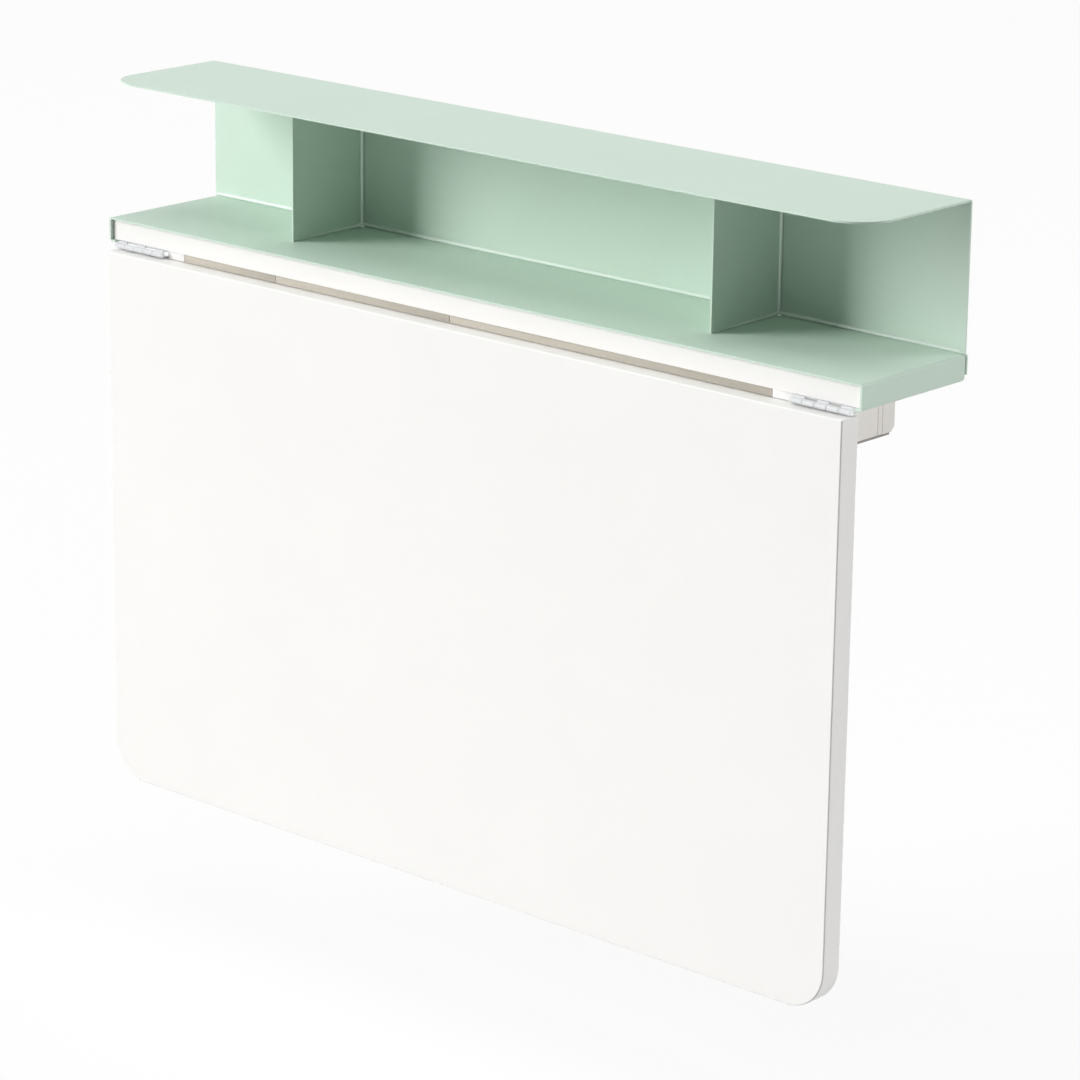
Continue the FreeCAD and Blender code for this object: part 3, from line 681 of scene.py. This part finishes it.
def screws(node, out, shank, material, body, slot, pan_head=None, proud=0.0):
    """Replace a CAD group of screws by recessed ones. Without a pan head's height they are countersunk."""
    axis = max(range(3), key=lambda i: abs(out[i]))
    boxes, places = islands(node), []
    for low, high in boxes:
        place = (low + high) / 2
        place[axis] = (high if out[axis] > 0 else low)[axis]
        places.append(place + out * proud)
    size = boxes[-1][1] - boxes[-1][0]
    radius = size[(axis + 1) % 3] / 2
    height = pan_head or radius - shank
    values = {
        "Head radius": PAN_CROWN * radius if pan_head else radius,
        "Seat radius": radius if pan_head else shank,
        "Head height": height, "Shank radius": shank, "Length": size[axis],
        "Slot width": SLOT_WIDTH * radius, "Slot depth": SLOT_DEPTH * height,
        "Turn": out.to_track_quat("Z", "X").to_euler(), "Material": material,
    }
    points = bpy.data.objects.new("points", bpy.data.meshes.new("points"))
    points.data.from_pydata(places, [], [])
    bpy.context.collection.objects.link(points)
    modifier = points.modifiers.new("screws", "NODES")
    tree = modifier.node_group = bpy.data.node_groups.get("recessed_screws") or screw_tree()
    for socket in tree.interface.items_tree:
        if socket.in_out == "INPUT" and socket.name in values:
            modifier[socket.identifier] = values[socket.name]
    mesh = bpy.data.meshes.new_from_object(points.evaluated_get(bpy.context.evaluated_depsgraph_get()))
    if not mesh.polygons:
        raise RuntimeError(f"{node} has no screws")
    points.modifiers.remove(modifier)
    bpy.data.objects.remove(points)
    smooth(mesh)
    fit(f"{node}_recessed", mesh, body, slot, node)


class TABLE_OT_drive_screws(bpy.types.Operator):
    """Drive the recessed screws and bolts, and plate the arms' sleeves"""

    bl_idname = "table.drive_screws"
    bl_label = "Drive the screws"

    def execute(self, context):
        sizes, colours = context.scene.table_sizes, context.scene.table_colours
        nickel, zinc = finish(nickel_plated_steel, colours.nickel), finish(zinc_plated_steel, colours.zinc)
        hinge = {
            "shank": sizes.small_shank, "proud": sizes.proud_head, "material": nickel, "slot": "plated_steel",
        }
        screws("hinge_board_screws", -UP, body=FIXED_BODY, **hinge)
        screws("hinge_leaf_screws", -FRONT, body=LEAF_BODY, **hinge)
        plain = {"material": zinc, "body": FIXED_BODY, "slot": "zinc_fixings"}
        screws("rear_screws", -FRONT, sizes.small_shank, **plain)
        screws("cheek_screws", -FRONT, sizes.frame_shank, **plain)
        screws("board_screws", UP, sizes.frame_shank, **plain)
        screws("tray_bolts", -UP, sizes.frame_shank, pan_head=sizes.tray_bolt_head, **plain)
        screws("arm_pivot_bolts", -UP, sizes.pivot_shank, pan_head=sizes.pivot_head, **plain)
        coat(zinc, "arm_sleeves")
        return {"FINISHED"}


class TABLE_OT_lay_pads(bpy.types.Operator):
    """Lay the felt pads on the arms"""

    bl_idname = "table.lay_pads"
    bl_label = "Lay the pads"

    def execute(self, context):
        bm = bmesh.new()
        for low, high in islands("arm_pads"):
            boxed(bm, low, high, context.scene.table_sizes.pad_edge)
        mesh = to_mesh(bm, finish(wool_felt, context.scene.table_colours.felt))
        pads = fit("arm_felt_pads", mesh, FIXED_BODY, "grey_felt", "arm_pads")
        return {"FINISHED"}


def softbox(name, azimuth, elevation, size, share):
    """A softbox by angles in degrees. A white surface that faces it, at the shelf, shows a share of white."""
    data = bpy.data.lights.new(name, "AREA")
    data.shape = "RECTANGLE"
    data.size, data.size_y = size
    # A flat lamp gives power / (pi * distance ** 2), of which a white surface shows 1 / pi.
    data.energy = share * (math.pi * LIGHT_DISTANCE) ** 2
    light = bpy.data.objects.new(name, data)
    turn = Matrix.Rotation(math.radians(azimuth), 4, "Z")
    tilt = Matrix.Rotation(math.radians(90 - elevation), 4, "X")
    away = Matrix.Translation(UP * LIGHT_DISTANCE)
    light.matrix_world = Matrix.Translation(LIT_POINT) @ turn @ tilt @ away
    # Gloss mirrors the white backdrop alone, so the coat flares to white from no side.
    light.visible_camera = light.visible_glossy = False
    bpy.context.collection.objects.link(light)


def seen_directly(tree):
    """One where the camera, a mirror or glass looks, nought where light only bounces."""
    path = add(tree, "ShaderNodeLightPath").outputs
    seen = path["Is Camera Ray"]
    for ray in ("Is Glossy Ray", "Is Transmission Ray"):
        seen = add(tree, "ShaderNodeMath", {"operation": "MAXIMUM"}, links={0: seen, 1: path[ray]}).outputs[0]
    return seen


class TABLE_OT_set_stage(bpy.types.Operator):
    """Set the floor, the lights, the backdrop and the camera"""

    bl_idname = "table.set_stage"
    bl_label = "Set the stage"

    def execute(self, context):
        stage = context.scene.table_stage
        context.scene.view_settings.view_transform = "Standard"
        self.light(context.scene, stage)
        self.floor(stage)
        self.camera(context.scene, stage)
        return {"FINISHED"}

    def light(self, scene, stage):
        """The white backdrop, an even light from all sides and three softboxes."""
        world = bpy.data.worlds.new("studio")
        world.use_nodes = True
        scene.world = world
        tree = world.node_tree
        ambient = tree.nodes["Background"]
        ambient.inputs["Color"].default_value = WHITE
        ambient.inputs["Strength"].default_value = stage.ambient
        white = add(tree, "ShaderNodeBackground", inputs={"Color": WHITE, "Strength": 1.0})
        links = {0: seen_directly(tree), 1: ambient.outputs[0], 2: white.outputs[0]}
        mix = add(tree, "ShaderNodeMixShader", links=links)
        tree.links.new(mix.outputs[0], tree.nodes["World Output"].inputs["Surface"])
        softbox("key_left", azimuth=-48, elevation=17, size=(9.0, 15.0), share=stage.key)
        softbox("top", azimuth=0, elevation=80, size=(13.0, 13.0), share=stage.top)
        softbox("rim_right", azimuth=136, elevation=14, size=(10.0, 9.5), share=stage.rim)

    def floor(self, stage):
        """A pale floor, nearly white to the camera, which keeps the table's shadow."""
        leaf_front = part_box("drop_leaf")[0].y
        height = HINGE_AXIS.z + (HINGE_AXIS.y - leaf_front) - stage.table_height
        bm = bmesh.new()
        place = Matrix.Translation(UP * height)
        bmesh.ops.create_grid(bm, x_segments=1, y_segments=1, size=stage.floor_half, matrix=place)
        material, tree, shader = new_material("pale_floor", stage.floor_bounce, roughness=0.9)
        shaded = add(tree, "ShaderNodeBsdfDiffuse", inputs={"Color": linear(stage.floor_seen)})
        white = add(tree, "ShaderNodeEmission", inputs={"Color": WHITE, "Strength": 1.0})
        seen = add(tree, "ShaderNodeMixShader", inputs={0: stage.floor_white}, links={
            1: shaded.outputs[0], 2: white.outputs[0]})
        links = {0: seen_directly(tree), 1: shader.outputs[0], 2: seen.outputs[0]}
        mix = add(tree, "ShaderNodeMixShader", links=links)
        tree.links.new(mix.outputs[0], tree.nodes["Material Output"].inputs["Surface"])
        floor = bpy.data.objects.new("floor", to_mesh(bm, material))
        bpy.context.collection.objects.link(floor)

    def camera(self, scene, stage):
        """The camera, where the photo's edges put it."""
        data = bpy.data.cameras.new("camera")
        data.lens = stage.camera_lens
        camera = bpy.data.objects.new("camera", data)
        turn = Matrix.Rotation(stage.camera_yaw, 4, "Z")
        tilt = Matrix.Rotation(math.pi / 2 - stage.camera_pitch, 4, "X")
        roll = Matrix.Rotation(stage.camera_roll, 4, "Z")
        camera.matrix_world = Matrix.Translation(stage.camera_place) @ turn @ tilt @ roll
        bpy.context.collection.objects.link(camera)
        scene.camera = camera


OPERATORS = (
    TABLE_OT_coat_shelf, TABLE_OT_face_boards, TABLE_OT_fit_lath, TABLE_OT_make_hinges, TABLE_OT_drive_screws,
    TABLE_OT_lay_pads, TABLE_OT_set_stage,
)


class TABLE_PT_finish(bpy.types.Panel):
    """Lists the steps that finish the table, and their settings"""

    bl_label = "Drop Leaf Table"
    bl_idname = "TABLE_PT_finish"
    bl_space_type = "VIEW_3D"
    bl_region_type = "UI"
    bl_category = "Drop Leaf Table"

    def draw(self, context):
        for operator in OPERATORS:
            self.layout.operator(operator.bl_idname)
        for name, group in GROUPS.items():
            for setting in group.__annotations__:
                self.layout.prop(getattr(context.scene, name), setting)


GROUPS = {"table_colours": FinishColours, "table_sizes": FinishSizes, "table_stage": StageSettings}


def register():
    for cls in (*GROUPS.values(), *OPERATORS, TABLE_PT_finish):
        bpy.utils.register_class(cls)
    for name, cls in GROUPS.items():
        setattr(bpy.types.Scene, name, bpy.props.PointerProperty(type=cls))


def unregister():
    for name in GROUPS:
        delattr(bpy.types.Scene, name)
    for cls in reversed((*GROUPS.values(), *OPERATORS, TABLE_PT_finish)):
        bpy.utils.unregister_class(cls)


def main():
    register()
    for operator in OPERATORS:
        family, action = operator.bl_idname.split(".")
        getattr(getattr(bpy.ops, family), action)()


if __name__ == "__main__":
    main()
